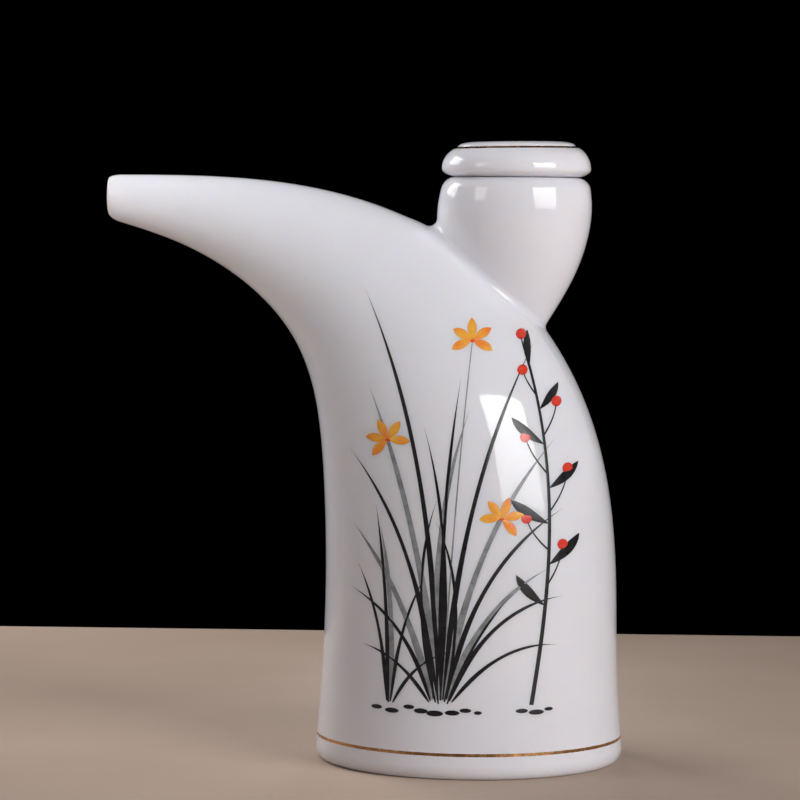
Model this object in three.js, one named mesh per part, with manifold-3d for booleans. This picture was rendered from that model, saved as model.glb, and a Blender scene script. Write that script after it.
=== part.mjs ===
// A white porcelain wine pot. Its horn-shaped body bends over into its own pouring spout, a tulip-shaped
// filling cup is luted onto the shoulder, and a round lid with a soft ring round its plug closes the cup.
// Millimetres, +Z up. The spout pours towards -X, and the pot stands on z = 0.
// Body and spout are lofted together, so the outline runs on without a step where they are luted.
import * as THREE from "three";
import { mergeVertices } from "three/addons/utils/BufferGeometryUtils.js";
import Module from "manifold-3d";

const wasm = await Module();
wasm.setup();

// Horn: the places that its centre line passes through, and how thick it is there
const footRadius = 43.8;
const hemHeight = 25;
const hemRadius = 41.9;
const waistHeight = 54;
const waistRadius = 41.1;
const flankLean = 3.8;
const flankHeight = 86;
const flankRadius = 39.1;
const shoulderLean = 15.2;
const shoulderHeight = 113.2;
const shoulderRadius = 33.3;
const crookLean = 35.2;
const crookHeight = 135.3;
const crookRadius = 23.6;
const spoutRootReach = 59.8;
const spoutRootHeight = 148.7;
const spoutRootRadius = 15;
const spoutNeckReach = 84.2;
const spoutNeckHeight = 155.4;
const spoutNeckRadius = 9.2;
const spoutTipReach = 103.6;
const spoutTipHeight = 158.2;
const spoutTipRadius = 6.2;

// Wall, floor and foot
const bodyWall = 3.2;
const spoutWall = 2.2;
const floorThickness = 4;
const innerCornerRadius = 8;
const footEdgeWidth = 2.8;
const footEdgeHeight = 4.2;
const footRingWidth = 3.6;
const footRecessDepth = 1.8;
const bandHeight = 7.05;
const bandWidth = 0.85;
const bandDepth = 0.3;

// Spout lip
const lipRoundLength = 3.6;
const lipRoundDepth = 1.4;
const lipLift = 0.3;
const lipFlare = 0.4;
const lipSquareLength = 14;
const lutingGap = 0.3;

// Filling cup
const cupOffset = 11.6;
const cupRise = 32.4;
const cupRimRadius = 20.5;
const cupRimRound = 3.8;
const cupRadius = 21.4;
const cupBellyDrop = 7.4;
const cupWaistRadius = 20.3;
const cupWaistDrop = 17.2;
const cupStemRadius = 16.8;
const cupStemDrop = 27.4;
const cupFootRadius = 9.2;
const cupFootDrop = 40.9;
const flareDrop = 2;
const flareSlope = 0.1;
const flareFrom = 0.6;
const flareFull = 0.97;
const mouthRadius = 15;
const mouthDepth = 13;
const mouthBevel = 0.8;
const cupWall = 4.2;
const throatRadius = 7.5;

// Lid and seal
const seatGap = 0.3;
const lidRadius = 21.05;
const lidSeatRadius = 17.35;
const lidWideHeight = 2.1;
const lidShoulderRound = 6.6;
const lidBrowBearing = 62;
const lidTopRadius = 10;
const lidTopHeight = 9.8;
const crownLineWidth = 0.5;
const crownLineDepth = 0.3;
const crownBearing = 12;
const plugClearance = 0.9;
const plugDepth = 10.5;
const plugBevel = 1;
const plugWall = 3.6;
const lidRoof = 3.4;
const lidHollowTaper = 3.4;
const sealDrop = 5.6;
const sealRadius = 1.1;
const sealClearance = 0.3;
const sealFit = 0.3;

// Facets
const bodySides = 36;
const cavitySides = 28;
const roundSides = 36;
const sealSides = 8;
const hornSteps = 22;
const cavitySteps = 15;
const cupSteps = 12;
const roundSteps = 4;

const porcelain = new THREE.MeshStandardMaterial({ color: 0xe9e8ea, roughness: 0.12, metalness: 0 });
const softRing = new THREE.MeshStandardMaterial({ color: 0xd9d6cf, roughness: 0.7, metalness: 0 });

// A smooth curve through given values at given distances: a natural cubic spline
function splineThrough(distances, values) {
  const last = values.length - 1;
  const lower = new Array(last + 1).fill(0);
  const solved = new Array(last + 1).fill(0);
  for (let i = 1; i < last; i += 1) {
    const before = distances[i] - distances[i - 1];
    const after = distances[i + 1] - distances[i];
    const bend = (values[i + 1] - values[i]) / after - (values[i] - values[i - 1]) / before;
    const pivot = 2 * (before + after) - before * lower[i - 1];
    lower[i] = after / pivot;
    solved[i] = (6 * bend - before * solved[i - 1]) / pivot;
  }
  const curvature = new Array(last + 1).fill(0);
  for (let i = last - 1; i > 0; i -= 1) curvature[i] = solved[i] - lower[i] * curvature[i + 1];
  return (distance) => {
    let i = 0;
    while (i < last - 1 && distance > distances[i + 1]) i += 1;
    const span = distances[i + 1] - distances[i];
    const a = (distances[i + 1] - distance) / span;
    const b = 1 - a;
    const bowed = ((a ** 3 - a) * curvature[i] + (b ** 3 - b) * curvature[i + 1]) * span ** 2 / 6;
    return a * values[i] + b * values[i + 1] + bowed;
  };
}

// The horn's centre line and radius by the distance along its stations
const stations = [
  { x: 0, z: 0, radius: footRadius },
  { x: 0, z: hemHeight, radius: hemRadius },
  { x: 0, z: waistHeight, radius: waistRadius },
  { x: -flankLean, z: flankHeight, radius: flankRadius },
  { x: -shoulderLean, z: shoulderHeight, radius: shoulderRadius },
  { x: -crookLean, z: crookHeight, radius: crookRadius },
  { x: -spoutRootReach, z: spoutRootHeight, radius: spoutRootRadius },
  { x: -spoutNeckReach, z: spoutNeckHeight, radius: spoutNeckRadius },
  { x: -spoutTipReach, z: spoutTipHeight, radius: spoutTipRadius },
];
const travelled = [0];
for (let i = 1; i < stations.length; i += 1) {
  const step = Math.hypot(stations[i].x - stations[i - 1].x, stations[i].z - stations[i - 1].z);
  travelled.push(travelled[i - 1] + step);
}
const hornLength = travelled[travelled.length - 1];
const centreX = splineThrough(travelled, stations.map((s) => s.x));
const centreZ = splineThrough(travelled, stations.map((s) => s.z));
const hornRadius = splineThrough(travelled, stations.map((s) => s.radius));

// The spout starts at the crook, which is the station after the shoulder's
const spoutStart = travelled[stations.findIndex((s) => s.radius === crookRadius)];

// One round section: radius less inset, moved along the line by shift. It lies level at the foot, turns
// square to the centre line by the waist, and stands upright at the lip
function hornSection(distance, inset = 0, shift = 0) {
  const nudge = 0.5;
  const behind = Math.max(0, distance - nudge);
  const ahead = Math.min(hornLength, distance + nudge);
  const along = new THREE.Vector3(
    centreX(ahead) - centreX(behind),
    0,
    centreZ(ahead) - centreZ(behind),
  ).normalize();
  const levelling = 1 - THREE.MathUtils.smoothstep(distance, footEdgeHeight, waistHeight);
  along.lerp(new THREE.Vector3(0, 0, 1), levelling);
  const squaring = Math.max(0, 1 - (hornLength - distance) / lipSquareLength);
  along.lerp(new THREE.Vector3(-1, 0, 0), squaring).normalize();
  const centre = new THREE.Vector3(centreX(distance), 0, centreZ(distance)).addScaledVector(along, shift);
  return { centre, along, radius: hornRadius(distance) - inset };
}

// How high the horn's upper side stands at a given x, found by halving
function hornTopAt(x) {
  let near = waistHeight;
  let far = hornLength;
  while (far - near > 1e-6) {
    const middle = (near + far) / 2;
    const { centre, along, radius } = hornSection(middle);
    if (centre.x + along.z * radius > x) near = middle;
    else far = middle;
  }
  const { centre, along, radius } = hornSection(near);
  return centre.z - along.x * radius;
}
const cupRimHeight = hornTopAt(cupOffset) + cupRise;

// A closed skin over a row of round sections, with a flat cap at both ends
function loft(sections, sides) {
  const positions = [];
  const faces = [];
  const across = new THREE.Vector3(0, 1, 0);
  for (const { centre, along, radius } of sections) {
    const outward = new THREE.Vector3().crossVectors(across, along);
    for (let i = 0; i < sides; i += 1) {
      const angle = (i / sides) * 2 * Math.PI;
      const point = centre
        .clone()
        .addScaledVector(outward, radius * Math.cos(angle))
        .addScaledVector(across, radius * Math.sin(angle));
      positions.push(point.x, point.y, point.z);
    }
  }
  for (let ring = 0; ring < sections.length - 1; ring += 1) {
    for (let i = 0; i < sides; i += 1) {
      const a = ring * sides + i;
      const b = ring * sides + ((i + 1) % sides);
      faces.push(a, b, b + sides, a, b + sides, a + sides);
    }
  }
  const firstCentre = positions.length / 3;
  const lastCentre = firstCentre + 1;
  const lastRing = (sections.length - 1) * sides;
  positions.push(...sections[0].centre.toArray(), ...sections[sections.length - 1].centre.toArray());
  for (let i = 0; i < sides; i += 1) {
    const next = (i + 1) % sides;
    faces.push(firstCentre, next, i, lastCentre, lastRing + i, lastRing + next);
  }
  const geometry = new THREE.BufferGeometry();
  geometry.setAttribute("position", new THREE.Float32BufferAttribute(positions, 3));
  geometry.setIndex(faces);
  return geometry;
}

// A solid from a closed geometry, and a named mesh from a solid
function solidFrom(geometry) {
  const bare = geometry.clone();
  bare.deleteAttribute("normal");
  bare.deleteAttribute("uv");
  const merged = mergeVertices(bare, 1e-4);
  const kept = [];
  for (let i = 0; i < merged.index.count; i += 3) {
    const [a, b, c] = [0, 1, 2].map((k) => merged.index.getX(i + k));
    if (a !== b && b !== c && c !== a) kept.push(a, b, c);
  }
  return new wasm.Manifold(
    new wasm.Mesh({
      numProp: 3,
      vertProperties: merged.attributes.position.array,
      triVerts: new Uint32Array(kept),
    }),
  );
}

function meshFrom(solid, name, material) {
  const data = solid.getMesh();
  const geometry = new THREE.BufferGeometry();
  geometry.setAttribute("position", new THREE.BufferAttribute(data.vertProperties, 3));
  geometry.setIndex(new THREE.BufferAttribute(data.triVerts, 1));
  geometry.computeVertexNormals();
  const mesh = new THREE.Mesh(geometry, material);
  mesh.name = name;
  return mesh;
}

// A solid turned about the upright axis of the cup, from points of [radius, height]. reshape may move its
// points while the axis is still at the origin
function turned(profile, reshape = (geometry) => geometry) {
  const outline = profile.map(([radius, height]) => new THREE.Vector2(radius, height));
  const geometry = new THREE.LatheGeometry(outline, roundSides);
  geometry.rotateX(Math.PI / 2);
  reshape(geometry);
  geometry.translate(cupOffset, 0, 0);
  return solidFrom(geometry);
}

// Points of a rounded corner: a quarter of an ellipse from one bearing to another
function corner(centreRadius, centreHeight, wide, high, fromDegrees, toDegrees, steps = roundSteps) {
  const points = [];
  for (let i = 0; i <= steps; i += 1) {
    const bearing = THREE.MathUtils.degToRad(fromDegrees + ((toDegrees - fromDegrees) * i) / steps);
    points.push([centreRadius + wide * Math.cos(bearing), centreHeight + high * Math.sin(bearing)]);
  }
  return points;
}

// Outside of the horn: the rounded foot edge, the groove of the band, the flank, and the rounded lip
function hornOutside(grow = 0) {
  const sections = [];
  for (let i = 0; i <= roundSteps; i += 1) {
    const bearing = (i / roundSteps) * (Math.PI / 2);
    const height = footEdgeHeight * (1 - Math.cos(bearing));
    sections.push(hornSection(height, footEdgeWidth * (1 - Math.sin(bearing)) - grow));
  }
  const grooveEdge = bandWidth / 2 + bandDepth;
  sections.push(hornSection(bandHeight - grooveEdge, -grow));
  sections.push(hornSection(bandHeight - bandWidth / 2, bandDepth - grow));
  sections.push(hornSection(bandHeight + bandWidth / 2, bandDepth - grow));
  sections.push(hornSection(bandHeight + grooveEdge, -grow));
  const flankStart = bandHeight + grooveEdge;
  const lipStart = hornLength - lipRoundLength;
  for (let i = 1; i <= hornSteps; i += 1) {
    sections.push(hornSection(flankStart + ((lipStart - flankStart) * i) / hornSteps, -grow));
  }
  for (let i = 1; i <= roundSteps; i += 1) {
    const bearing = (i / roundSteps) * (Math.PI / 2);
    const closing = 1 - Math.cos(bearing);
    const section = hornSection(lipStart + lipRoundLength * Math.sin(bearing), lipRoundDepth * closing - grow);
    section.centre.z += lipLift * closing;
    sections.push(section);
  }
  return solidFrom(loft(sections, bodySides));
}

// Inside of the horn: one wall in from the outside, open at the lip
function hornCavity() {
  const sections = [];
  const wallAt = (distance) => bodyWall + ((spoutWall - bodyWall) * distance) / hornLength;
  const cornerTop = floorThickness + innerCornerRadius;
  for (let i = 0; i <= roundSteps; i += 1) {
    const bearing = (i / roundSteps) * (Math.PI / 2);
    const height = cornerTop - innerCornerRadius * Math.cos(bearing);
    const inset = wallAt(height) + innerCornerRadius * (1 - Math.sin(bearing));
    sections.push(hornSection(height, inset));
  }
  const flareStart = hornLength - 2 * lipFlare;
  for (let i = 1; i <= cavitySteps; i += 1) {
    const distance = cornerTop + ((flareStart - cornerTop) * i) / cavitySteps;
    sections.push(hornSection(distance, wallAt(distance)));
  }
  sections.push(hornSection(hornLength, spoutWall - lipFlare));
  sections.push(hornSection(hornLength, spoutWall - lipFlare, lipRoundLength));
  return solidFrom(loft(sections, cavitySides));
}

// Everything on the spout's side of its luted joint, from the joint's plane moved along by shift
function pastSpoutJoint(shift) {
  const { centre, along } = hornSection(spoutStart, 0, shift);
  const reach = hornLength;
  const block = new THREE.CylinderGeometry(reach, reach, reach, roundSides);
  block.applyQuaternion(new THREE.Quaternion().setFromUnitVectors(new THREE.Vector3(0, 1, 0), along));
  block.translate(...centre.addScaledVector(along, reach / 2).toArray());
  return solidFrom(block);
}

// Body: from the foot to the crook, with a glazed recess inside the foot ring and a hole under the cup
function makeBody() {
  const recessRadius = footRadius - footEdgeWidth - footRingWidth;
  const recess = new THREE.CylinderGeometry(recessRadius, recessRadius, 2 * footRecessDepth, bodySides);
  recess.rotateX(Math.PI / 2);
  const drill = cupRimHeight - waistHeight;
  const throat = new THREE.CylinderGeometry(throatRadius, throatRadius, drill, roundSides);
  throat.rotateX(Math.PI / 2);
  throat.translate(cupOffset, 0, waistHeight + drill / 2);
  const solid = hornOutside()
    .subtract(hornCavity())
    .subtract(solidFrom(recess))
    .subtract(solidFrom(throat))
    .subtract(pastSpoutJoint(-lutingGap / 2));
  return meshFrom(solid, "pot_body", porcelain);
}

// Spout: from the crook to the lip
function makeSpout() {
  const solid = hornOutside().subtract(hornCavity()).intersect(pastSpoutJoint(lutingGap / 2));
  return meshFrom(solid, "spout", porcelain);
}

// Outer line of the cup from its foot up to its rim, as [radius, height]
function cupOutline() {
  const radiusAt = splineThrough(
    [0, cupBellyDrop, cupWaistDrop, cupStemDrop, cupFootDrop],
    [cupRimRadius, cupRadius, cupWaistRadius, cupStemRadius, cupFootRadius],
  );
  const points = [];
  for (let i = cupSteps; i >= 0; i -= 1) {
    const drop = cupRimRound + ((cupFootDrop - cupRimRound) * i) / cupSteps;
    points.push([radiusAt(drop), cupRimHeight - drop]);
  }
  return points;
}

// The side of the cup towards the spout doesn't curve in, but runs straight down into the crook
function flare(geometry) {
  const points = geometry.attributes.position;
  for (let i = 0; i < points.count; i += 1) {
    const radius = Math.hypot(points.getX(i), points.getY(i));
    const drop = Math.min(cupFootDrop, cupRimHeight - points.getZ(i));
    if (radius > 0 && drop > flareDrop) {
      const share = THREE.MathUtils.smoothstep(-points.getX(i) / radius, flareFrom, flareFull);
      const widening = 1 + (flareSlope * (drop - flareDrop) * share) / radius;
      points.setXY(i, points.getX(i) * widening, points.getY(i) * widening);
    }
  }
}

// Cup: luted onto the shoulder, so its underside follows the horn
function makeCup() {
  const outline = cupOutline();
  const [rimRadius, rimHeight] = outline[outline.length - 1];
  const rimRound = corner(rimRadius - cupRimRound, rimHeight, cupRimRound, cupRimRound, 0, 90);
  const outside = turned([
    [0, waistHeight],
    [cupFootRadius, waistHeight],
    ...outline,
    ...rimRound.slice(1),
    [0, cupRimHeight],
  ], flare);
  const inside = turned([
    [0, waistHeight - mouthBevel],
    [throatRadius, waistHeight - mouthBevel],
    [throatRadius, cupRimHeight - cupFootDrop],
    [cupStemRadius - cupWall, cupRimHeight - cupStemDrop],
    [mouthRadius, cupRimHeight - mouthDepth],
    [mouthRadius, cupRimHeight - mouthBevel],
    [mouthRadius + mouthBevel, cupRimHeight],
    [mouthRadius + mouthBevel, cupRimHeight + mouthBevel],
    [0, cupRimHeight + mouthBevel],
  ]);
  const solid = outside.subtract(inside).subtract(hornOutside(lutingGap));
  return meshFrom(solid, "filling_cup", porcelain);
}

const lidBase = cupRimHeight + seatGap;
const plugRadius = mouthRadius - plugClearance;
const sealHeight = lidBase - sealDrop;
const sealCentre = mouthRadius - sealFit - sealRadius;

// Lid: a rounded disc with a raised crown, and a hollow plug with a groove for the seal
function makeLid() {
  const grooveReach = sealRadius + sealClearance;
  const groove = corner(sealCentre, sealHeight, grooveReach, grooveReach, 60, 300, 2 * roundSteps)
    .filter(([radius]) => radius < plugRadius);
  const wideHeight = lidBase + lidWideHeight;
  const edge = corner(lidSeatRadius, wideHeight, lidRadius - lidSeatRadius, lidWideHeight, -90, 0);
  const shoulder = corner(
    lidRadius - lidShoulderRound, wideHeight, lidShoulderRound, lidShoulderRound, 0, lidBrowBearing,
  );
  const [browRadius, browHeight] = shoulder[shoulder.length - 1];
  const crownRadius = browRadius - crownLineWidth;
  const crown = corner(
    lidTopRadius, browHeight, crownRadius - lidTopRadius, lidBase + lidTopHeight - browHeight, crownBearing, 90,
  );
  const solid = turned([
    [0, lidBase + lidTopHeight - lidRoof],
    [plugRadius - plugWall, lidBase + lidTopHeight - lidRoof - lidHollowTaper],
    [plugRadius - plugWall, lidBase - plugDepth],
    [plugRadius - plugBevel, lidBase - plugDepth],
    [plugRadius, lidBase - plugDepth + plugBevel],
    ...groove.reverse(),
    [plugRadius, lidBase],
    ...edge,
    ...shoulder.slice(1),
    [browRadius, browHeight - crownLineDepth],
    [crownRadius, browHeight - crownLineDepth],
    ...crown,
    [0, lidBase + lidTopHeight],
  ]);
  return meshFrom(solid, "lid", porcelain);
}

function makeSeal() {
  const ring = new THREE.TorusGeometry(sealCentre, sealRadius, sealSides, roundSides);
  ring.translate(cupOffset, 0, sealHeight);
  return meshFrom(solidFrom(ring), "lid_seal_ring", softRing);
}

const pot = new THREE.Group();
pot.add(makeBody(), makeSpout(), makeCup(), makeLid(), makeSeal());
pot.position.x = (spoutTipReach - hornRadius(footEdgeHeight)) / 2;

export default pot;
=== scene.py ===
import math

import bmesh
import bpy
import numpy as np
from mathutils import Matrix, Vector


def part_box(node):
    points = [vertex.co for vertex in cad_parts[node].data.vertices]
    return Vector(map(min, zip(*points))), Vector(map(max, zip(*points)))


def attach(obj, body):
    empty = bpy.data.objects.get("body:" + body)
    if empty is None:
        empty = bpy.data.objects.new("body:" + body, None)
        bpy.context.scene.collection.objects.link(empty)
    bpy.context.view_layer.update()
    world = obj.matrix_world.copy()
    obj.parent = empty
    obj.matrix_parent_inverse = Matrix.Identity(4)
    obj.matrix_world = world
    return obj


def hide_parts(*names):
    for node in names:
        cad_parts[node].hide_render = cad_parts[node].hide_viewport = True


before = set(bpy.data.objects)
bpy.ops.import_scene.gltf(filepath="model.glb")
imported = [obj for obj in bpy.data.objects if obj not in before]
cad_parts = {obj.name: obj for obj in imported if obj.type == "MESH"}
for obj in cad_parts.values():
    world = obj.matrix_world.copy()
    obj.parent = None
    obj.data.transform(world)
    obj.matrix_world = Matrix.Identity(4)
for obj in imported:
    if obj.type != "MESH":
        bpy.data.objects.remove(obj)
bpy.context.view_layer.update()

# Shapes are worked out in millimetres from the foot's centre, and turned into metres in the row's frame
MM = 0.001

# Horn: x, z and radius at the places that its centre line passes through
FOOT = (0, 0, 43.8)
HEM = (0, 25, 41.9)
WAIST = (0, 54, 41.1)
FLANK = (-3.8, 86, 39.1)
SHOULDER = (-15.2, 113.2, 33.3)
CROOK = (-35.2, 135.3, 23.6)
SPOUT_ROOT = (-59.8, 148.7, 15)
SPOUT_NECK = (-84.2, 155.4, 9.2)
SPOUT_TIP = (-103.6, 158.2, 6.2)
STATIONS = np.array([FOOT, HEM, WAIST, FLANK, SHOULDER, CROOK, SPOUT_ROOT, SPOUT_NECK, SPOUT_TIP], float)

# Wall, floor and foot
BODY_WALL = 3.2
SPOUT_WALL = 2.2
FLOOR_THICKNESS = 4
INNER_CORNER = 8
FOOT_EDGE_WIDTH = 2.8
FOOT_EDGE_HEIGHT = 4.2
FOOT_RING_WIDTH = 3.6
FOOT_RING_ROUND = 0.6
RECESS_DEPTH = 1.8
RECESS_ROUND = 1.1
BAND_HEIGHT = 7.05
BAND_WIDTH = 0.85
BAND_RISE = 0.02

# Spout lip
LIP_ROUND_LENGTH = 3.6
LIP_ROUND_DEPTH = 1.4
LIP_LIFT = 0.3
LIP_SQUARE_LENGTH = 14
LIP_FACE_INSET = 1.65
LIP_MOUTH_LENGTH = 1.2

# Filling cup, as heights down from its rim
CUP_OFFSET = 11.6
CUP_RIM_ROUND = 3.8
CUP_DROPS = (0, 7.4, 17.2, 27.4, 40.9)
CUP_RADII = (20.5, 21.4, 20.3, 16.8, 9.2)
MOUTH_RADIUS = 15
MOUTH_DEPTH = 13
MOUTH_ROUND = 0.8
CUP_WALL = 4.2
THROAT_RADIUS = 7.5
FILLET_RADIUS = 2.2
SKIRT_LENGTH = 0.5
SKIRT_RISE = 0.015
ROOT_DEPTH = 1

# On its uphill side the cup doesn't curve in: it runs straight down, over clay drawn up from the crook
FLARE_DROP = 2
FLARE_SLOPE = 0.1
FLARE_SPREAD = (0.6, 0.97)
DRAWN_UP_RISE = 0.3
DRAWN_UP_LENGTH = 8
DRAWN_UP_RINGS = 8

# Lid and seal
SEAT_GAP = 0.3
LID_RADIUS = 21.05
LID_SEAT_RADIUS = 16
LID_WIDE_HEIGHT = 2.1
LID_EDGE_BEARING = -82
LID_SHOULDER_ROUND = 6.6
LID_SHOULDER_BEARING = 3
LID_BROW = 71
LID_CREST_RADIUS = 12.5
LID_TOP_HEIGHT = 9.7
LID_SINK = 0.28
LID_LEAN = 0.0157
LID_LINE_BEARING = 59.5
LID_CREST_BEARING = 6
PLUG_CLEARANCE = 0.9
PLUG_DEPTH = 10.5
PLUG_ROUND = 1
PLUG_EASE = 0.4
PLUG_WALL = 3.6
LID_ROOF = 3.4
LID_HOLLOW_TAPER = 3.4
LID_HOLLOW_BEARING = 80
SEAL_DROP = 5.6
SEAL_RADIUS = 1.1
SEAL_FIT = 0.3
SEAL_CLEARANCE = 0.3
FLASH_HEIGHT = 0.06
FLASH_SPREAD = 8

# Painted design on the front, in x and z. A stroke's middle stands proud of the glaze, its edges less so, its
# keel is sunk in the glaze, and colours that lie over others are a layer higher.
INK_PROUD = 0.03
INK_LAYER = 0.012
INK_SUNK = 0.06
INK_EDGE = 0.012
INK_SHOULDER = 0.8
INK_STEP = 0.8
INK_LEAST_STEPS = 8
INK_LEAST_WIDTH = 0.04
INK_LATE_BEND = 1.5
STEM_TAPER = 0.45
SPOT_STEPS = 14

# Blades: start, first heading from upright in degrees, bend on the way, length and width
BLADES = (
    (-8.6, 22, -2, -22, 114, 1.5),
    (-7.2, 22, 5, 22, 100, 1.5),
    (-9.8, 22.4, -6, -34, 72, 1.3),
    (-6.2, 22.3, 12, 48, 62, 1.4),
    (-7.8, 21.8, -1, 10, 88, 1.3),
    (-10.6, 21.6, -18, -48, 38, 1.2),
    (-5.4, 21.8, 22, 64, 44, 1.3),
    (-7.9, 22.4, 4, -20, 74, 1.2),
    (-9.2, 21.2, -13, 32, 56, 1.1),
    (-6.8, 21.4, 12, -38, 50, 1.1),
    (-11.0, 21.2, -34, -44, 24, 1.0),
    (-4.8, 21.4, 38, 60, 34, 1.1),
    (-8.4, 20.8, -8, -9, 38, 1.0),
    (-6.0, 20.9, 21, 22, 34, 1.0),
    (-22.6, 20.8, -4, -22, 38, 1.0),
    (-21.6, 20.8, 6, 22, 36, 1.0),
    (-22.2, 20.4, -1, -8, 54, 1.2),
    (-21.0, 20.4, 26, 60, 24, 0.9),
)
PALE_BLADES = (
    (-8.0, 22, -8, -14, 88, 1.9),
    (-7.0, 22, 10, 32, 78, 1.8),
    (-8.8, 22, -3, 22, 80, 1.7),
    (-6.4, 22, 20, 44, 46, 1.7),
    (-10.0, 22, -16, -24, 52, 1.8),
    (-21.8, 20.6, 2, -14, 48, 1.6),
)
BLOSSOM_STALKS = (
    (-8.2, 22, -8, -10, 72, 0.5),
    (-7.4, 22, 3, 3, 98, 0.5),
    (-7.0, 22, 10, 18, 52, 0.5),
)

# Petals: their bearings from the stalk's heading. Each bends by its bearing over the straightness.
PETALS = (-112, -62, -8, 48, 104)
PETAL_LENGTH = 6.2
PETAL_WIDTH = 2.5
PETAL_STRAIGHTNESS = 6
BLOSSOM_EYE = (0.7, 0.6)

# Berry twig: start, heading, bend, length and width, and then what grows from it, by share of its length
TWIG = (17, 20.5, 9, -26, 96, 1.2)
SIDE_TWIGS = (
    (0.34, 34, -30, 12), (0.44, -46, 30, 11), (0.55, 38, -34, 13), (0.66, -40, 24, 12), (0.77, 34, -28, 10),
    (0.88, -36, 20, 8), (1.0, -20, 18, 6),
)
TWIG_LEAVES = (
    (0.28, -52, 26, 12, 2.6), (0.4, 58, -26, 12, 2.8), (0.52, -64, 20, 13, 2.8), (0.62, 60, -22, 11, 2.6),
    (0.74, -58, 22, 12, 2.5), (0.84, 46, -20, 9, 2.3), (0.97, -8, 14, 10, 2.1),
)
SIDE_TWIG_WIDTH = 0.5
BERRY_RADIUS = 1.45

# Moss at the foot of the blades: place, half length and half height
MOSS = (
    (-16.5, 19.6, 1.5, 0.6), (-13.2, 18.7, 1.9, 0.7), (-9.4, 18.2, 2.3, 0.8), (-4.6, 18.5, 2.0, 0.7),
    (-1.0, 19.2, 1.6, 0.6), (-25.4, 18.9, 1.5, 0.6), (-21.2, 18.3, 1.9, 0.7), (2.4, 18.6, 1.1, 0.5),
    (14.4, 19.0, 1.7, 0.6), (18.4, 18.5, 2.1, 0.7), (21.8, 19.2, 1.2, 0.5),
)

# How finely the surfaces are divided: sides of the rings, distance from ring to ring, and rings or steps
SIDES = 192
DRILL_SIDES = 64
RING_STEP = 1.0
INSIDE_STEP = 3.0
CUP_RINGS = 40
BOWL_RINGS = 16
RECESS_RINGS = 12
FLOOR_RINGS = 8
FLAT_RINGS = 5
SEAT_RINGS = 4
CREST_RINGS = 6
SMALL_ARC_STEPS = 6
MIDDLE_ARC_STEPS = 8
ARC_STEPS = 10
EDGE_ARC_STEPS = 12
LARGE_ARC_STEPS = 16
LID_ARC_STEPS = 20
GILT_ARC_STEPS = 4
SEAL_STEPS = 32

# Edges that turn more sharply than this are shaded sharp
SHARP_ANGLE = math.radians(35)

# Places at which the horn is searched for its nearest point, and halvings of a range in a search
SEARCH_PLACES = 400
HALVINGS = 24

# Points nearer than this, in metres, are one point after a cut or a join
WELD = 2e-6

# Camera: where it stands from the foot's centre, and how it is turned
CAMERA_DISTANCE = 990.1
CAMERA_HEIGHT = 155.2
CAMERA_YAW = math.radians(1.19)
CAMERA_PITCH = math.radians(3.104)
CAMERA_ROLL = math.radians(0.595)
CAMERA_LENS = 157.5

# Floor: how far it reaches to the sides, towards the camera and behind the pot
FLOOR_HALF_WIDTH = 900
FLOOR_FRONT = -700
FLOOR_BACK = 295

# Rectangular lights that face a point above the foot: azimuth and elevation in degrees, distance, width,
# height and radiance. Azimuth 0 is towards the camera and 90 to its right. The softboxes light the pot and
# are seen in its glaze, the panels are only seen in it, and the fills only light it.
AIM_HEIGHT = 120
SOFTBOXES = (
    ("softbox_right", 45, 15, 690, 430, 310, 9.4),
    ("softbox_back_right", 125, 20, 800, 500, 500, 0.4),
)
PANELS = (
    ("softbox_back", 180, -8, 300, 56, 80, 5),
    ("panel_left", -116, 25, 600, 280, 230, 6),
    ("panel_front_left", -57, 18.5, 800, 270, 250, 4.4),
)
FILLS = (
    ("fill_back_left", -145, 3, 700, 220, 160, 26),
    ("fill_back", -130, 40, 300, 140, 140, 6),
    ("fill_top", -86, 62, 260, 160, 160, 1.9),
    ("fill_tip", -62, 22, 200, 66, 66, 5.2),
    ("fill_front", -30, -4, 700, 240, 120, 3.2),
)

# The first softbox fades downwards: what its lower and its upper edge give, as shares of its radiance
FADE_BOTTOM = 0.5
FADE_TOP = 1.5

lid_low, lid_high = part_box("lid")
FOOT_X = (lid_low.x + lid_high.x) / 2 / MM - CUP_OFFSET
RIM_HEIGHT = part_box("filling_cup")[1].z / MM
LID_BASE = RIM_HEIGHT + SEAT_GAP


def to_frame(points):
    """Metres in the row's frame, from millimetres measured from the foot's centre."""
    return (np.asarray(points, float) + [FOOT_X, 0, 0]) * MM


def unit(vectors):
    return vectors / np.linalg.norm(vectors, axis=-1, keepdims=True)


def smoothstep(value, low, high):
    t = np.clip((value - low) / (high - low), 0, 1)
    return t * t * (3 - 2 * t)


def bearings(first, last, steps=ARC_STEPS):
    """Angles of a round stretch, from degrees."""
    return np.radians(np.linspace(first, last, steps + 1))


def spline_through(distances, values):
    """A natural cubic spline through values at distances, as a function of an array of distances."""
    distances = np.asarray(distances, float)
    values = np.asarray(values, float)
    spans = np.diff(distances)
    slopes = np.diff(values) / spans
    system = np.eye(len(values))
    bends = np.zeros(len(values))
    for i in range(1, len(values) - 1):
        system[i, i - 1 : i + 2] = spans[i - 1], 2 * (spans[i - 1] + spans[i]), spans[i]
        bends[i] = 6 * (slopes[i] - slopes[i - 1])
    curvature = np.linalg.solve(system, bends)

    def at(distance):
        distance = np.asarray(distance, float)
        i = np.clip(np.searchsorted(distances, distance) - 1, 0, len(spans) - 1)
        a = (distances[i + 1] - distance) / spans[i]
        b = 1 - a
        bowed = ((a**3 - a) * curvature[i] + (b**3 - b) * curvature[i + 1]) * spans[i] ** 2 / 6
        return a * values[i] + b * values[i + 1] + bowed

    return at


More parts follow.
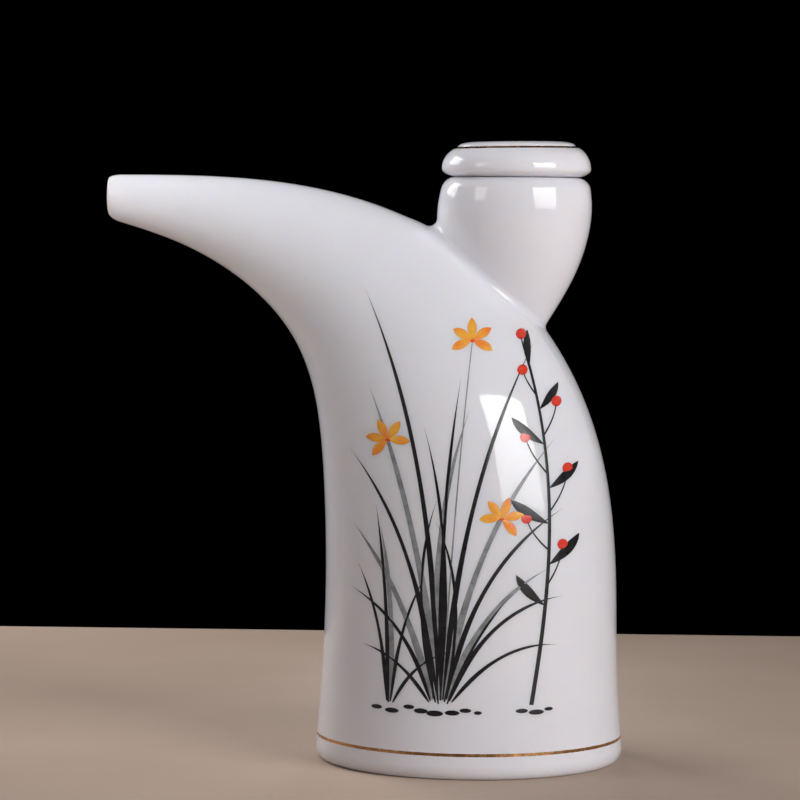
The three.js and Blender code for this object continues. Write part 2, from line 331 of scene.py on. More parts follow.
TRAVELLED = np.concatenate([[0], np.cumsum(np.hypot(*np.diff(STATIONS[:, :2], axis=0).T))])
HORN_LENGTH = TRAVELLED[-1]
centre_x, centre_z, horn_radius = (spline_through(TRAVELLED, STATIONS[:, i]) for i in range(3))
cup_radius = spline_through(CUP_DROPS, CUP_RADII)


def horn_sections(distance):
    """Centres, directions and radii of the horn's round sections. They lie level at the foot, turn square
    to the centre line by the waist, and stand upright at the lip."""
    nudge = 0.5
    ahead = np.minimum(HORN_LENGTH, distance + nudge)
    behind = np.maximum(0, distance - nudge)
    along = unit(np.stack([centre_x(ahead) - centre_x(behind), centre_z(ahead) - centre_z(behind)], -1))
    squared = smoothstep(distance, FOOT_EDGE_HEIGHT, WAIST[1])[..., None]
    along = along * squared + np.array([0, 1]) * (1 - squared)
    upright = np.maximum(0, 1 - (HORN_LENGTH - distance) / LIP_SQUARE_LENGTH)[..., None]
    along = unit(along * (1 - upright) + np.array([-1, 0]) * upright)
    centre = np.stack([centre_x(distance), centre_z(distance)], -1)
    return centre, along, horn_radius(distance)


def horn_points(distance, angle, inset=0.0, lift=0.0):
    """Points of the horn. Angle 0 is the outer side of the bend, and a quarter turn back is the front."""
    centre, along, radius = horn_sections(np.asarray(distance, float))
    reach = (radius - inset) * np.cos(angle)
    x = centre[..., 0] + along[..., 1] * reach
    y = (radius - inset) * np.sin(angle)
    z = centre[..., 1] - along[..., 0] * reach + lift
    return np.stack([x, y, z], -1)


def cup_points(radius, height, angle):
    """Points round the upright axis of the cup."""
    x = CUP_OFFSET + radius * np.cos(angle)
    y = radius * np.sin(angle)
    return np.stack([x, y, height + np.zeros_like(x)], -1)


def nearest_on_horn(points, rise=0.0):
    """The nearest points of the horn's skin, raised by rise, and how far outside of it the points are."""
    rise = np.broadcast_to(rise, len(points))
    reach = np.linspace(WAIST[1], TRAVELLED[-2], SEARCH_PLACES)

    def measure(distance):
        centre, along, radius = horn_sections(distance)
        x = points[:, None, 0] - centre[..., 0]
        z = points[:, None, 2] - centre[..., 1]
        outward = x * along[..., 1] - z * along[..., 0]
        onward = x * along[..., 0] + z * along[..., 1]
        across = np.hypot(outward, points[:, None, 1])
        return outward, across - radius - rise[:, None], onward

    _, gap, onward = measure(reach[None, :])
    squares = gap**2 + onward**2
    best = np.clip(squares.argmin(axis=1), 1, len(reach) - 2)
    row = np.arange(len(points))
    before, here, after = (squares[row, best + i] for i in (-1, 0, 1))
    step = reach[1] - reach[0]
    distance = (reach[best] + step * (before - after) / (2 * (before - 2 * here + after)))[:, None]
    outward, gap, onward = (value[:, 0] for value in measure(distance))
    angle = np.arctan2(points[:, 1], outward)
    near = horn_points(distance[:, 0], angle, -rise)
    return near, np.sign(gap) * np.hypot(gap, onward)


def halve(low, high, too_far):
    """Where a test first fails between two arrays of bounds."""
    for _ in range(HALVINGS):
        middle = (low + high) / 2
        beyond = too_far(middle)
        low = np.where(beyond, low, middle)
        high = np.where(beyond, middle, high)
    return (low + high) / 2


def new_object(name, mesh):
    obj = bpy.data.objects.new(name, mesh)
    bpy.context.scene.collection.objects.link(obj)
    return obj


def solid(name, points, faces, materials, face_materials):
    """A smooth-shaded closed object from points in millimetres, with its faces turned outwards."""
    mesh = bpy.data.meshes.new(name)
    mesh.from_pydata(to_frame(points).tolist(), [], faces)
    for material in materials:
        mesh.materials.append(material)
    mesh.polygons.foreach_set("material_index", np.asarray(face_materials, np.int32))
    work = bmesh.new()
    work.from_mesh(mesh)
    bmesh.ops.recalc_face_normals(work, faces=work.faces)
    work.to_mesh(mesh)
    work.free()
    mesh.shade_smooth()
    mesh.set_sharp_from_angle(angle=SHARP_ANGLE)
    return new_object(name, mesh)


def skin(name, rings, coats, materials, poles=True):
    """A closed object over rows of rings. coats names the material from each ring to the next. With poles,
    the first and last ring are single points, and otherwise the last ring joins the first."""
    rings = np.asarray(rings)
    count, sides = rings.shape[:2]
    used = sorted(set(coats))
    points = rings.reshape(-1, 3)
    faces = []
    paint = []
    for i in range(count - 1 if poles else count):
        here = i * sides
        there = ((i + 1) % count) * sides
        coat = used.index(coats[i])
        for j in range(sides):
            k = (j + 1) % sides
            if poles and i == 0:
                faces.append((here, there + k, there + j))
            elif poles and i == count - 2:
                faces.append((here + j, here + k, there))
            else:
                faces.append((here + j, here + k, there + k, there + j))
            paint.append(coat)
    if poles:
        kept = np.r_[0, sides : (count - 1) * sides + 1]
        renumber = np.zeros(len(points), int)
        renumber[kept] = np.arange(len(kept))
        points = points[kept]
        faces = [tuple(int(renumber[v]) for v in face) for face in faces]
    return solid(name, points, faces, [materials[coat] for coat in used], paint)


def combine(obj, other, operation):
    """Joins another closed object on to one, or cuts it away, welds close points and deletes the other."""
    modifier = obj.modifiers.new("combine", "BOOLEAN")
    modifier.operation = operation
    modifier.solver = "EXACT"
    modifier.material_mode = "TRANSFER"
    modifier.object = other
    evaluated = obj.evaluated_get(bpy.context.evaluated_depsgraph_get())
    mesh = bpy.data.meshes.new_from_object(evaluated)
    work = bmesh.new()
    work.from_mesh(mesh)
    bmesh.ops.remove_doubles(work, verts=work.verts, dist=WELD)
    bmesh.ops.dissolve_degenerate(work, dist=WELD, edges=work.edges)
    work.to_mesh(mesh)
    work.free()
    mesh.set_sharp_from_angle(angle=SHARP_ANGLE)
    obj.modifiers.clear()
    obj.data = mesh
    bpy.data.objects.remove(other)


class Nodes:
    """A short way to write a material's nodes."""

    def __init__(self, name):
        self.material = bpy.data.materials.new(name)
        self.material.use_nodes = True
        self.tree = self.material.node_tree
        self.shader = self.tree.nodes["Principled BSDF"]
        self.place = self.tree.nodes.new("ShaderNodeTexCoord").outputs["Object"]

    def set(self, **values):
        """Sets sockets of the shader, whose names are written with _ for a space."""
        for name, value in values.items():
            self.shader.inputs[name.replace("_", " ")].default_value = value

    def link(self, output, name):
        self.tree.links.new(output, self.shader.inputs[name])

    def noise(self, scale, detail, roughness=0.5):
        node = self.tree.nodes.new("ShaderNodeTexNoise")
        node.inputs["Scale"].default_value = scale
        node.inputs["Detail"].default_value = detail
        node.inputs["Roughness"].default_value = roughness
        self.tree.links.new(self.place, node.inputs["Vector"])
        return node.outputs["Fac"]

    def remap(self, value, low, high, to_low=0.0, to_high=1.0):
        node = self.tree.nodes.new("ShaderNodeMapRange")
        for name, number in zip(("From Min", "From Max", "To Min", "To Max"), (low, high, to_low, to_high)):
            node.inputs[name].default_value = number
        self.tree.links.new(value, node.inputs["Value"])
        return node.outputs["Result"]

    def mix(self, factor, first, second):
        node = self.tree.nodes.new("ShaderNodeMix")
        node.data_type = "RGBA"
        node.inputs["A"].default_value = (*first, 1)
        node.inputs["B"].default_value = (*second, 1)
        self.tree.links.new(factor, node.inputs["Factor"])
        return node.outputs["Result"]

    def bump(self, height, depth):
        node = self.tree.nodes.new("ShaderNodeBump")
        node.inputs["Distance"].default_value = depth
        self.tree.links.new(height, node.inputs["Height"])
        self.link(node.outputs["Normal"], "Normal")


def porcelain():
    """White body under a clear gloss glaze, faintly mottled, with the slow waves that a fired glaze has."""
    nodes = Nodes("porcelain_glaze")
    nodes.set(Roughness=0.07, IOR=1.43, Subsurface_Weight=0.6, Subsurface_Scale=0.004)
    nodes.set(Subsurface_Radius=(1, 0.8, 0.65))
    tone = nodes.remap(nodes.noise(scale=55, detail=3), 0.3, 0.7)
    nodes.link(nodes.mix(tone, (0.80, 0.79, 0.84), (0.775, 0.765, 0.815)), "Base Color")
    nodes.bump(nodes.noise(scale=130, detail=1), depth=0.00004)
    return nodes.material


def bisque():
    """Unglazed white ware, dry and slightly sandy."""
    nodes = Nodes("bisque")
    nodes.set(Roughness=0.85)
    tone = nodes.remap(nodes.noise(scale=900, detail=4), 0.35, 0.65)
    nodes.link(nodes.mix(tone, (0.66, 0.62, 0.56), (0.76, 0.73, 0.68)), "Base Color")
    nodes.bump(nodes.noise(scale=3500, detail=2), depth=0.00008)
    return nodes.material


def gilt():
    """Burnished coppery gold line, thinner in places where the brush ran dry."""
    nodes = Nodes("gilt")
    nodes.set(Metallic=1.0)
    wear = nodes.remap(nodes.noise(scale=120, detail=2), 0.35, 0.7)
    nodes.link(nodes.mix(wear, (0.78, 0.42, 0.17), (0.58, 0.30, 0.13)), "Base Color")
    polish = nodes.remap(nodes.noise(scale=500, detail=2), 0.3, 0.7, to_low=0.2, to_high=0.32)
    nodes.link(polish, "Roughness")
    return nodes.material


def silicone():
    """Milky soft silicone."""
    nodes = Nodes("seal_silicone")
    nodes.set(Roughness=0.5, Subsurface_Weight=0.3, Subsurface_Scale=0.002)
    tone = nodes.remap(nodes.noise(scale=400, detail=3), 0.3, 0.7)
    nodes.link(nodes.mix(tone, (0.72, 0.71, 0.67), (0.78, 0.77, 0.73)), "Base Color")
    nodes.bump(nodes.noise(scale=2500, detail=2), depth=0.00003)
    return nodes.material


def overglaze(name, first, second, roughness=0.35):
    """Painted colour fired on to the glaze, uneven where the brush carried more or less of it."""
    uneven = 0.08
    nodes = Nodes(name)
    nodes.set(IOR=1.45)
    tone = nodes.remap(nodes.noise(scale=220, detail=4, roughness=0.65), 0.35, 0.65)
    nodes.link(nodes.mix(tone, first, second), "Base Color")
    polish = nodes.remap(nodes.noise(scale=400, detail=2), 0.3, 0.7, roughness - uneven, roughness + uneven)
    nodes.link(polish, "Roughness")
    return nodes.material


def floor_paint():
    """Pale matt board."""
    nodes = Nodes("floor_paint")
    nodes.set(Roughness=0.7)
    tone = nodes.remap(nodes.noise(scale=12, detail=4), 0.3, 0.7)
    nodes.link(nodes.mix(tone, (0.46, 0.345, 0.275), (0.51, 0.39, 0.315)), "Base Color")
    nodes.bump(nodes.noise(scale=700, detail=3), depth=0.0001)
    return nodes.material


GLAZE = "glaze"
BISQUE = "bisque"
GILT = "gilt"
MATERIALS = {GLAZE: porcelain(), BISQUE: bisque(), GILT: gilt()}


class Path:
    """Rows of a surface from ring to ring, each with the coat that runs up to it from the row before."""

    def __init__(self):
        self.rows = []
        self.coats = []

    def run(self, first, second, third=0.0, coat=GLAZE):
        columns = np.broadcast_arrays(np.atleast_1d(first), second, third)
        for row in zip(*(column.astype(float) for column in columns)):
            self.rows.append(row)
            self.coats.append(coat)

    def columns(self):
        return np.array(self.rows).T

    def coats_onward(self):
        """The coat from each row to the next one."""
        return self.coats[1:] + self.coats[:1]


def wall_at(distance):
    return BODY_WALL + (SPOUT_WALL - BODY_WALL) * distance / HORN_LENGTH


def steps_between(low, high, step):
    return np.linspace(low, high, max(2, round((high - low) / step) + 1))


def underside_path(path):
    """From the middle of the glazed recess under the foot, over the bare ring, to the outer foot edge."""
    recess = FOOT[2] - FOOT_EDGE_WIDTH - FOOT_RING_WIDTH

    def level(radius, height, coat=GLAZE):
        path.run(height, horn_radius(height) - radius, coat=coat)

    level(np.linspace(0, recess - RECESS_ROUND, RECESS_RINGS), RECESS_DEPTH)
    bearing = bearings(90, 0, SMALL_ARC_STEPS)[1:]
    height = RECESS_DEPTH - RECESS_ROUND * (1 - np.sin(bearing))
    level(recess - RECESS_ROUND + RECESS_ROUND * np.cos(bearing), height)
    bearing = bearings(0, 90, SMALL_ARC_STEPS)
    height = FOOT_RING_ROUND * (1 - np.sin(bearing))
    level(recess + FOOT_RING_ROUND * (1 - np.cos(bearing)), height)
    ring = np.linspace(recess + FOOT_RING_ROUND, FOOT[2] - FOOT_EDGE_WIDTH, FLAT_RINGS)
    level(ring[1:], 0, BISQUE)
    bearing = bearings(0, 90, LARGE_ARC_STEPS)[1:]
    height = FOOT_EDGE_HEIGHT * (1 - np.cos(bearing))
    inset = FOOT_EDGE_WIDTH * (1 - np.sin(bearing))
    path.run(height[:1], inset[:1], coat=BISQUE)
    path.run(height[1:], inset[1:])


def outer_path(path):
    """Up the flank, with the gilt band, along the spout and over its rounded lip to the mouth."""
    band_low = BAND_HEIGHT - BAND_WIDTH / 2
    band_high = BAND_HEIGHT + BAND_WIDTH / 2
    lip = HORN_LENGTH - LIP_ROUND_LENGTH
    path.run(steps_between(FOOT_EDGE_HEIGHT, band_low, RING_STEP)[1:], 0)
    path.run([band_low, band_high], -BAND_RISE, coat=GILT)
    path.run(band_high, 0)
    path.run(steps_between(band_high, lip, RING_STEP)[1:], 0)
    bearing = bearings(0, 90, LARGE_ARC_STEPS)[1:]
    closing = 1 - np.cos(bearing)
    distance = lip + LIP_ROUND_LENGTH * np.sin(bearing)
    path.run(distance, LIP_ROUND_DEPTH * closing, LIP_LIFT * closing)
    bearing = bearings(0, 90, MIDDLE_ARC_STEPS)
    distance = HORN_LENGTH - LIP_MOUTH_LENGTH * (1 - np.cos(bearing))
    inset = LIP_FACE_INSET + (SPOUT_WALL - LIP_FACE_INSET) * np.sin(bearing)
    path.run(distance, inset, LIP_LIFT * np.cos(bearing))


def inner_path(path):
    """Back down the bore, round the inner corner and over the floor to its middle."""
    corner_top = FLOOR_THICKNESS + INNER_CORNER
    distance = steps_between(corner_top, HORN_LENGTH - LIP_MOUTH_LENGTH, INSIDE_STEP)[:-1][::-1]
    path.run(distance, wall_at(distance))
    bearing = bearings(90, 0, MIDDLE_ARC_STEPS)[1:]
    height = corner_top - INNER_CORNER * np.cos(bearing)
    path.run(height, wall_at(height) + INNER_CORNER * (1 - np.sin(bearing)))
    floor_radius = horn_radius(FLOOR_THICKNESS) - wall_at(FLOOR_THICKNESS) - INNER_CORNER
    radius = np.linspace(floor_radius, 0, FLOOR_RINGS)[1:]
    path.run(FLOOR_THICKNESS, horn_radius(FLOOR_THICKNESS) - radius)


def angles_round(sides=SIDES):
    """Angles of a ring's points, in radians."""
    return np.arange(sides) / sides * 2 * math.pi


def make_shell():
    """Body and spout as one cast and luted shell, open at the lip, with a hole under the cup."""
    path = Path()
    underside_path(path)
    outer_path(path)
    inner_path(path)
    distance, inset, lift = (column[:, None] for column in path.columns())
    rings = horn_points(distance, angles_round()[None, :], inset, lift)
    shell = skin("pot_shell", rings, path.coats_onward(), MATERIALS)
    profile = Path()
    profile.run([0, THROAT_RADIUS, THROAT_RADIUS, 0], [WAIST[1], WAIST[1], RIM_HEIGHT, RIM_HEIGHT])
    combine(shell, make_turned("throat_drill", profile, sides=DRILL_SIDES), "DIFFERENCE")
    return shell


def make_turned(name, profile, materials=MATERIALS, sides=SIDES, poles=True, warp=None):
    """A solid turned about the cup's axis, from rows of radius and height. warp may move its points."""
    radius, height, _ = (column[:, None] for column in profile.columns())
    rings = cup_points(radius, height, angles_round(sides)[None, :])
    if warp:
        rings = warp(rings)
    return skin(name, rings, profile.coats_onward(), materials, poles)


def uphill_share(angle):
    """1 on the cup's side towards the spout, and 0 from a little past its front and back."""
    return smoothstep(-np.cos(angle), *FLARE_SPREAD)


def cup_side(drop, angle):
    """A point of the cup's outer side at a height below the rim, and the normal there."""

    def at(drop, angle):
        flare = FLARE_SLOPE * np.maximum(0, drop - FLARE_DROP) * uphill_share(angle)
        return cup_points(cup_radius(drop) + flare, RIM_HEIGHT - drop, angle)

    nudge = 0.01
    down = at(drop + nudge, angle) - at(drop - nudge, angle)
    around = at(drop, angle + nudge) - at(drop, angle - nudge)
    return at(drop, angle), unit(np.cross(down, around))


def rim_rings(angle):
    """The cup's rounded rim from its flat top to where it runs on into the side, and how far down that is."""
    nudge = 0.01
    last = math.atan((cup_radius(CUP_RIM_ROUND + nudge) - cup_radius(CUP_RIM_ROUND - nudge)) / (2 * nudge))
    side_drop = CUP_RIM_ROUND * (1 - math.sin(last))
    round_radius = cup_radius(side_drop) - CUP_RIM_ROUND * math.cos(last)
    rings = []
    for bearing in bearings(90, math.degrees(last), LARGE_ARC_STEPS)[:-1]:
        drop = CUP_RIM_ROUND * (1 - math.sin(bearing))
        flare = FLARE_SLOPE * max(0, drop - FLARE_DROP) * uphill_share(angle)
        radius = round_radius + CUP_RIM_ROUND * math.cos(bearing) + flare
        rings.append(cup_points(radius, RIM_HEIGHT - drop, angle))
    return rings, side_drop


def make_cup():
    """Filling cup with a rounded luting fillet on the horn and a thin skirt that runs out on its skin."""
    angle = angles_round()
    drawn_up = DRAWN_UP_RISE * uphill_share(angle)

    def ball(drop):
        point, normal = cup_side(drop, angle)
        return point + FILLET_RADIUS * normal

    low = np.full(SIDES, float(CUP_DROPS[1]))
    high = np.full(SIDES, CUP_DROPS[-1] + FILLET_RADIUS)
    rise = SKIRT_RISE + drawn_up
    lowest = halve(low, high, lambda drop: nearest_on_horn(ball(drop), rise)[1] < FILLET_RADIUS)
    _, cup_normal = cup_side(lowest, angle)
    centre = ball(lowest)
    on_horn, _ = nearest_on_horn(centre, rise)
    horn_normal = unit(centre - on_horn)
    turn = np.arccos((cup_normal * horn_normal).sum(-1, keepdims=True))

    rings, side_drop = rim_rings(angle)
    for t in np.linspace(0, 1, CUP_RINGS + 1):
        rings.append(cup_side(side_drop + (lowest - side_drop) * t, angle)[0])
    for t in np.linspace(0, 1, ARC_STEPS + 1)[1:]:
        towards = (np.sin((1 - t) * turn) * cup_normal + np.sin(t * turn) * horn_normal) / np.sin(turn)
        rings.append(centre - FILLET_RADIUS * towards)
    outward = unit(cup_normal - (cup_normal * horn_normal).sum(-1, keepdims=True) * horn_normal)
    reach = (SKIRT_LENGTH + (DRAWN_UP_LENGTH - SKIRT_LENGTH) * uphill_share(angle))[:, None]
    for t in np.linspace(0, 1, DRAWN_UP_RINGS + 1)[1:]:
        fading = SKIRT_RISE + drawn_up * (1 + math.cos(math.pi * t)) / 2
        skirt, _ = nearest_on_horn(on_horn + reach * t * outward, fading)
        rings.append(skirt)
    rings.append(skirt - ROOT_DEPTH * horn_normal)

    inner_drops = (CUP_DROPS[-1], CUP_DROPS[-2], MOUTH_DEPTH)
    inner_radii = (THROAT_RADIUS, CUP_RADII[-2] - CUP_WALL, MOUTH_RADIUS)
    bowl = spline_through(inner_drops[::-1], inner_radii[::-1])

    def inside(drop):
        return cup_points(bowl(drop), RIM_HEIGHT - drop, angle)

    low = np.full(SIDES, float(MOUTH_DEPTH))
    high = np.full(SIDES, float(CUP_DROPS[-1]))
    floor_drop = halve(low, high, lambda drop: nearest_on_horn(inside(drop))[1] < 0)
    rings.append(inside(floor_drop + ROOT_DEPTH))
    for t in np.linspace(1, 0, BOWL_RINGS):
        rings.append(inside(MOUTH_DEPTH + (floor_drop - MOUTH_DEPTH) * t))
    rings.append(cup_points(MOUTH_RADIUS, RIM_HEIGHT - MOUTH_DEPTH / 2, angle))
    for bearing in bearings(180, 90):
        height = RIM_HEIGHT - MOUTH_ROUND * (1 - math.sin(bearing))
        rings.append(cup_points(MOUTH_RADIUS + MOUTH_ROUND * (1 + math.cos(bearing)), height, angle))
    return skin("cup", rings, [GLAZE] * len(rings), MATERIALS, poles=False)


def make_pot():
    """Body, spout and cup under one glaze."""
    pot = make_shell()
    combine(pot, make_cup(), "UNION")
    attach(pot, "pot")
    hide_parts("pot_body", "spout", "filling_cup")


PLUG_RADIUS = MOUTH_RADIUS - PLUG_CLEARANCE
SEAL_HEIGHT = LID_BASE - SEAL_DROP
SEAL_CENTRE = MOUTH_RADIUS - SEAL_FIT - SEAL_RADIUS


def round_to(path, radius, height, wide, high, first, last, steps=ARC_STEPS, coat=GLAZE):
    """A round stretch of a turned profile, about the point at radius and height."""
    bearing = bearings(first, last, steps)
    path.run(radius + wide * np.cos(bearing), height + high * np.sin(bearing), coat=coat)


def make_lid():
    """Lid: hollow plug with a groove for the seal, bare seat, rounded edge, gilt line and low crown."""
    path = Path()
    hollow = PLUG_RADIUS - PLUG_WALL
    foot = LID_BASE - PLUG_DEPTH
    roof = LID_BASE + LID_TOP_HEIGHT - LID_ROOF
    path.run(0, roof)
    round_to(path, 0, roof - LID_HOLLOW_TAPER, hollow, LID_HOLLOW_TAPER, LID_HOLLOW_BEARING, 0)
    path.run(hollow, np.linspace(roof - LID_HOLLOW_TAPER, foot + PLUG_ROUND, FLAT_RINGS)[1:-1])
    round_to(path, hollow + PLUG_ROUND, foot + PLUG_ROUND, PLUG_ROUND, PLUG_ROUND, 180, 270)
    round_to(path, PLUG_RADIUS - PLUG_ROUND, foot + PLUG_ROUND, PLUG_ROUND, PLUG_ROUND, 270, 360)
    groove = SEAL_RADIUS + SEAL_CLEARANCE
    opening = math.degrees(math.acos((PLUG_RADIUS - SEAL_CENTRE) / groove))
    round_to(path, SEAL_CENTRE, SEAL_HEIGHT, groove, groove, 360 - opening, opening, LARGE_ARC_STEPS)
    path.run(PLUG_RADIUS, LID_BASE - PLUG_EASE)
    path.run(PLUG_RADIUS + PLUG_EASE, LID_BASE)
    seat = np.linspace(PLUG_RADIUS + PLUG_EASE, LID_SEAT_RADIUS, SEAT_RINGS)
    path.run(seat[1:], LID_BASE - LID_SINK, coat=BISQUE)
    wide = LID_BASE + LID_WIDE_HEIGHT
    round_to(
        path, LID_SEAT_RADIUS, wide, LID_RADIUS - LID_SEAT_RADIUS, LID_WIDE_HEIGHT + LID_SINK,
        LID_EDGE_BEARING, 0, EDGE_ARC_STEPS,
    )
    middle = LID_RADIUS - LID_SHOULDER_ROUND
    round_to(
        path, middle, wide, LID_SHOULDER_ROUND, LID_SHOULDER_ROUND,
        LID_SHOULDER_BEARING, LID_LINE_BEARING, LID_ARC_STEPS,
    )
    raised = LID_SHOULDER_ROUND + BAND_RISE
    round_to(path, middle, wide, raised, raised, LID_LINE_BEARING, LID_BROW, GILT_ARC_STEPS, GILT)
    brow_radius, brow_height, _ = path.rows[-1]
    top = LID_BASE + LID_TOP_HEIGHT
    round_to(
        path, LID_CREST_RADIUS, brow_height, brow_radius - LID_CREST_RADIUS, top - brow_height,
        LID_CREST_BEARING, 90, LID_ARC_STEPS,
    )
    path.run(np.linspace(LID_CREST_RADIUS, 0, CREST_RINGS)[1:], top)

    def lean(points):
        """Hand-made crown: from the shoulder up it stands a little higher away from the spout."""
        share = smoothstep(points[..., 2], wide, brow_height)
        points[..., 2] += LID_LEAN * share * (points[..., 0] - CUP_OFFSET)
        return points

    lid = make_turned("lid_shell", path, warp=lean)
    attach(lid, "lid")
    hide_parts("lid")


def make_seal():
    """Soft ring with a thin flash line round its outside, as a moulded ring has."""
    path = Path()
    bearing = bearings(0, 360, SEAL_STEPS)[:-1]
    flash = FLASH_HEIGHT * np.exp(-((np.degrees(bearing) - 180) / FLASH_SPREAD) ** 2)
    radius = SEAL_CENTRE - (SEAL_RADIUS + flash) * np.cos(bearing)
    path.run(radius, SEAL_HEIGHT + SEAL_RADIUS * np.sin(bearing), coat="silicone")
    seal = make_turned("seal_ring", path, {"silicone": silicone()}, poles=False)
    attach(seal, "seal")
    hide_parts("lid_seal_ring")


def front_points(x, z, proud):
    """Points of the horn's front that cover x and z as seen along Y, raised off the glaze by proud."""
    x, z, proud = np.broadcast_arrays(np.asarray(x, float), z, proud)

    def is_past(distance):
        centre, along, _ = horn_sections(distance)
        return (x - centre[..., 0]) * along[..., 0] + (z - centre[..., 1]) * along[..., 1] < 0

    distance = halve(np.full(x.shape, FOOT_EDGE_HEIGHT), np.full(x.shape, TRAVELLED[-2]), is_past)
    centre, along, radius = horn_sections(distance)
    outward = (x - centre[..., 0]) * along[..., 1] - (z - centre[..., 1]) * along[..., 0]
    return horn_points(distance, -np.arccos(np.clip(outward / radius, -1, 1)), -proud)


def swept(x, z, heading, bend, length):
    """A line that leaves a place at a heading from upright and bends more and more, and its last heading."""
    count = max(INK_LEAST_STEPS, round(length / INK_STEP))
    share = (np.arange(count) + 0.5) / count
    turn = np.radians(heading + bend * share**INK_LATE_BEND)
    steps = np.stack([np.sin(turn), np.cos(turn)], -1) * length / count
    return np.concatenate([[(x, z)], (x, z) + np.cumsum(steps, axis=0)]), heading + bend


class Brush:
    """Thin closed strokes of one colour on the front of the horn."""

    def __init__(self, name, material, layer=0):
        self.name = name
        self.material = material
        self.proud = INK_PROUD + layer * INK_LAYER
        self.points = []
        self.faces = []

    def stroke(self, line, widths):
        """Lays a stroke along a line, as a flat-domed strip whose keel lies in the glaze."""
        shoulder = self.proud * INK_SHOULDER
        across = np.array([-1, -0.5, 0, 0.5, 1, 0])
        proud = np.array([INK_EDGE, shoulder, self.proud, shoulder, INK_EDGE, -INK_SUNK])
        ahead = unit(np.gradient(line, axis=0))
        side = np.stack([ahead[:, 1], -ahead[:, 0]], -1)
        half = np.maximum(INK_LEAST_WIDTH, widths) / 2
        places = line[:, None] + side[:, None] * half[:, None, None] * across[None, :, None]
        start = sum(len(rows) for rows in self.points)
        rows, columns = places.shape[:2]
        self.points.append(front_points(places[..., 0], places[..., 1], proud[None, :]).reshape(-1, 3))
        for i in range(rows - 1):
            for j in range(columns):
                k = (j + 1) % columns
                here = start + i * columns
                self.faces.append((here + j, here + k, here + columns + k, here + columns + j))
        self.faces.append(tuple(range(start, start + columns)))
        self.faces.append(tuple(range(start + (rows - 1) * columns, start + rows * columns)))

    def blade(self, x, z, heading, bend, length, width):
        """A long leaf, thin where the brush lands, fuller above it and drawn out to a point."""
        line, _ = swept(x, z, heading, bend, length)
        share = np.linspace(0, 1, len(line))
        landing, fullness, waver = 0.35, 0.65, 0.18
        press = landing + fullness * np.sin(math.pi * share**0.75) + waver * np.sin(3 * math.pi * share)
        drawn_out = 1 - share**5
        self.stroke(line, width * press * drawn_out)

    def leaf(self, x, z, heading, bend, length, width):
        """A short pointed leaf or petal, widest past its middle."""
        line, _ = swept(x, z, heading, bend, length)
        share = np.linspace(0, 1, len(line))
        self.stroke(line, width * np.sin(math.pi * share**1.2) ** 0.8)

    def stem(self, x, z, heading, bend, length, width):
        """A thin line that tapers a little, and where and how it ends."""
        line, last = swept(x, z, heading, bend, length)
        self.stroke(line, width * (1 - STEM_TAPER * np.linspace(0, 1, len(line))))
        return line, last

    def spot(self, x, z, half_length, half_height):
        """A round or flattened dab."""
        across = np.sin(bearings(-90, 90, SPOT_STEPS))
        line = np.stack([x + half_length * across, z + np.zeros_like(across)], -1)
        self.stroke(line, 2 * half_height * np.sqrt(np.maximum(0, 1 - across**2)))

    def make(self):
        points = np.concatenate(self.points)
        coloured = solid(self.name, points, self.faces, [self.material], [0] * len(self.faces))
        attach(coloured, "pot")


def make_design():
    """Painting of a clump of long grass in flower, with a berry twig beside it."""
    pale = Brush("ink_pale", overglaze("ink_pale", (0.16, 0.17, 0.18), (0.32, 0.33, 0.35)))
    dark = Brush("ink_dark", overglaze("ink_dark", (0.004, 0.004, 0.005), (0.014, 0.014, 0.016)), 1)
    yellow = Brush("petals", overglaze("petal_yellow", (0.83, 0.45, 0.04), (0.86, 0.22, 0.03)), 2)
    red = Brush("berries", overglaze("berry_red", (0.72, 0.06, 0.03), (0.62, 0.035, 0.025), 0.28), 2)
    for blade in PALE_BLADES:
        pale.blade(*blade)
    for blade in BLADES:
        dark.blade(*blade)
    for stalk in BLOSSOM_STALKS:
        line, last = pale.stem(*stalk)
        for turn in PETALS:
            yellow.leaf(*line[-1], last + turn, turn / PETAL_STRAIGHTNESS, PETAL_LENGTH, PETAL_WIDTH)
        red.spot(*line[-1], *BLOSSOM_EYE)
    twig, _ = dark.stem(*TWIG)
    turn = np.degrees(np.arctan2(*(twig[-1] - twig[0])))
    for share, heading, bend, length in SIDE_TWIGS:
        joint = twig[round(share * (len(twig) - 1))]
        line, _ = dark.stem(*joint, turn + heading, bend, length, SIDE_TWIG_WIDTH)
        red.spot(*line[-1], BERRY_RADIUS, BERRY_RADIUS)
    for share, heading, bend, length, width in TWIG_LEAVES:
        joint = twig[round(share * (len(twig) - 1))]
        dark.leaf(*joint, turn + heading, bend, length, width)
    for dab in MOSS:
        dark.spot(*dab)
    for brush in (pale, dark, yellow, red):
        brush.make()


def make_camera():
    """The photograph's view."""
    data = bpy.data.cameras.new("camera")
    data.lens = CAMERA_LENS
    obj = new_object("camera", data)
    turn = (
        Matrix.Rotation(CAMERA_YAW, 4, "Z")
        @ Matrix.Rotation(math.pi / 2 - CAMERA_PITCH, 4, "X")
        @ Matrix.Rotation(CAMERA_ROLL, 4, "Z")
    )
    place = Vector(to_frame([0, -CAMERA_DISTANCE, CAMERA_HEIGHT]))
    obj.matrix_world = Matrix.Translation(place) @ turn
    bpy.context.scene.camera = obj


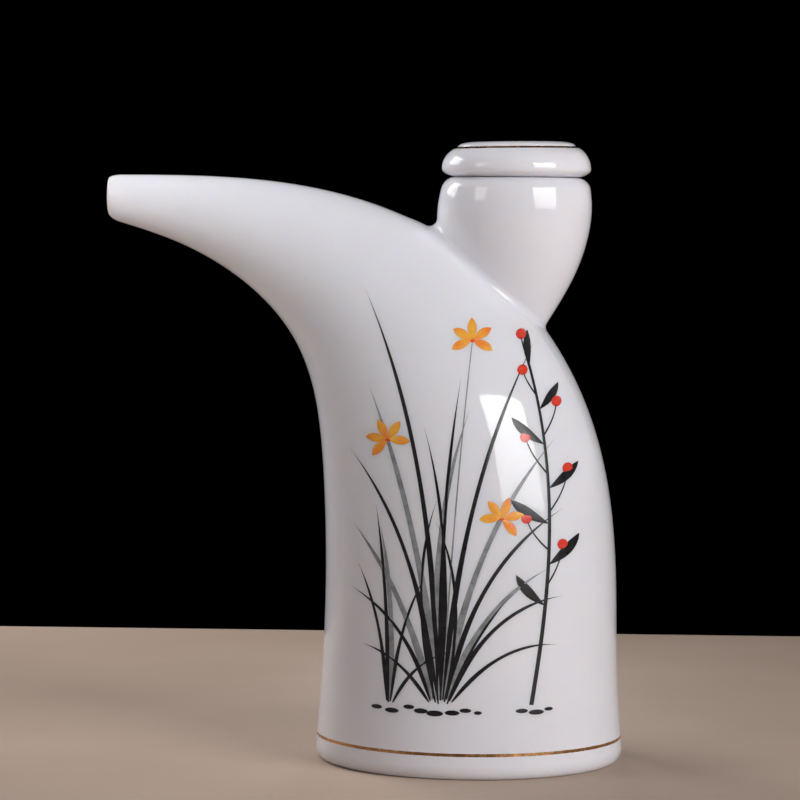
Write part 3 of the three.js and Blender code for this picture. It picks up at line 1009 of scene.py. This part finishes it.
def make_floor():
    """A pale board whose far edge ends a good hand's length behind the pot."""
    data = bpy.data.meshes.new("floor")
    corners = [
        (-FLOOR_HALF_WIDTH, FLOOR_FRONT, 0),
        (FLOOR_HALF_WIDTH, FLOOR_FRONT, 0),
        (FLOOR_HALF_WIDTH, FLOOR_BACK, 0),
        (-FLOOR_HALF_WIDTH, FLOOR_BACK, 0),
    ]
    data.from_pydata(to_frame(corners).tolist(), [], [(0, 1, 2, 3)])
    data.materials.append(floor_paint())
    new_object("floor", data)


def make_softbox(name, azimuth, elevation, distance, width, height, radiance):
    """A white rectangular light that faces the pot and isn't seen by the camera itself."""
    aim = Vector((0, 0, AIM_HEIGHT))
    turn = math.radians(azimuth)
    rise = math.radians(elevation)
    away = Vector((math.sin(turn) * math.cos(rise), -math.cos(turn) * math.cos(rise), math.sin(rise)))
    data = bpy.data.lights.new(name, "AREA")
    data.shape = "RECTANGLE"
    data.size = width * MM
    data.size_y = height * MM
    data.energy = radiance * math.pi * width * height * MM**2
    obj = new_object(name, data)
    obj.location = Vector(to_frame(aim + away * distance))
    obj.rotation_mode = "QUATERNION"
    obj.rotation_quaternion = away.to_track_quat("Z", "Y")
    obj.visible_camera = False
    return obj


def fade_downwards(softbox):
    """Makes a rectangular light fade from its upper edge to its lower one, as a cloth lit from above does."""
    softbox.data.use_nodes = True
    nodes = softbox.data.node_tree.nodes
    links = softbox.data.node_tree.links
    surface = nodes.new("ShaderNodeNewGeometry")
    parts = nodes.new("ShaderNodeSeparateXYZ")
    links.new(surface.outputs["Parametric"], parts.inputs["Vector"])
    ramp = nodes.new("ShaderNodeMapRange")
    ramp.inputs["To Min"].default_value = FADE_BOTTOM
    ramp.inputs["To Max"].default_value = FADE_TOP
    links.new(parts.outputs["Y"], ramp.inputs["Value"])
    links.new(ramp.outputs["Result"], nodes["Emission"].inputs["Strength"])


def make_lights():
    """Studio lights in a dark room."""
    softboxes = [make_softbox(*light) for light in SOFTBOXES]
    fade_downwards(softboxes[0])
    for light in PANELS:
        make_softbox(*light).visible_diffuse = False
    for light in FILLS:
        make_softbox(*light).visible_glossy = False
    world = bpy.data.worlds.new("studio")
    world.color = (0, 0, 0)
    bpy.context.scene.world = world
    bpy.context.scene.view_settings.view_transform = "Standard"


make_camera()
make_floor()
make_lights()
make_pot()
make_lid()
make_seal()
make_design()
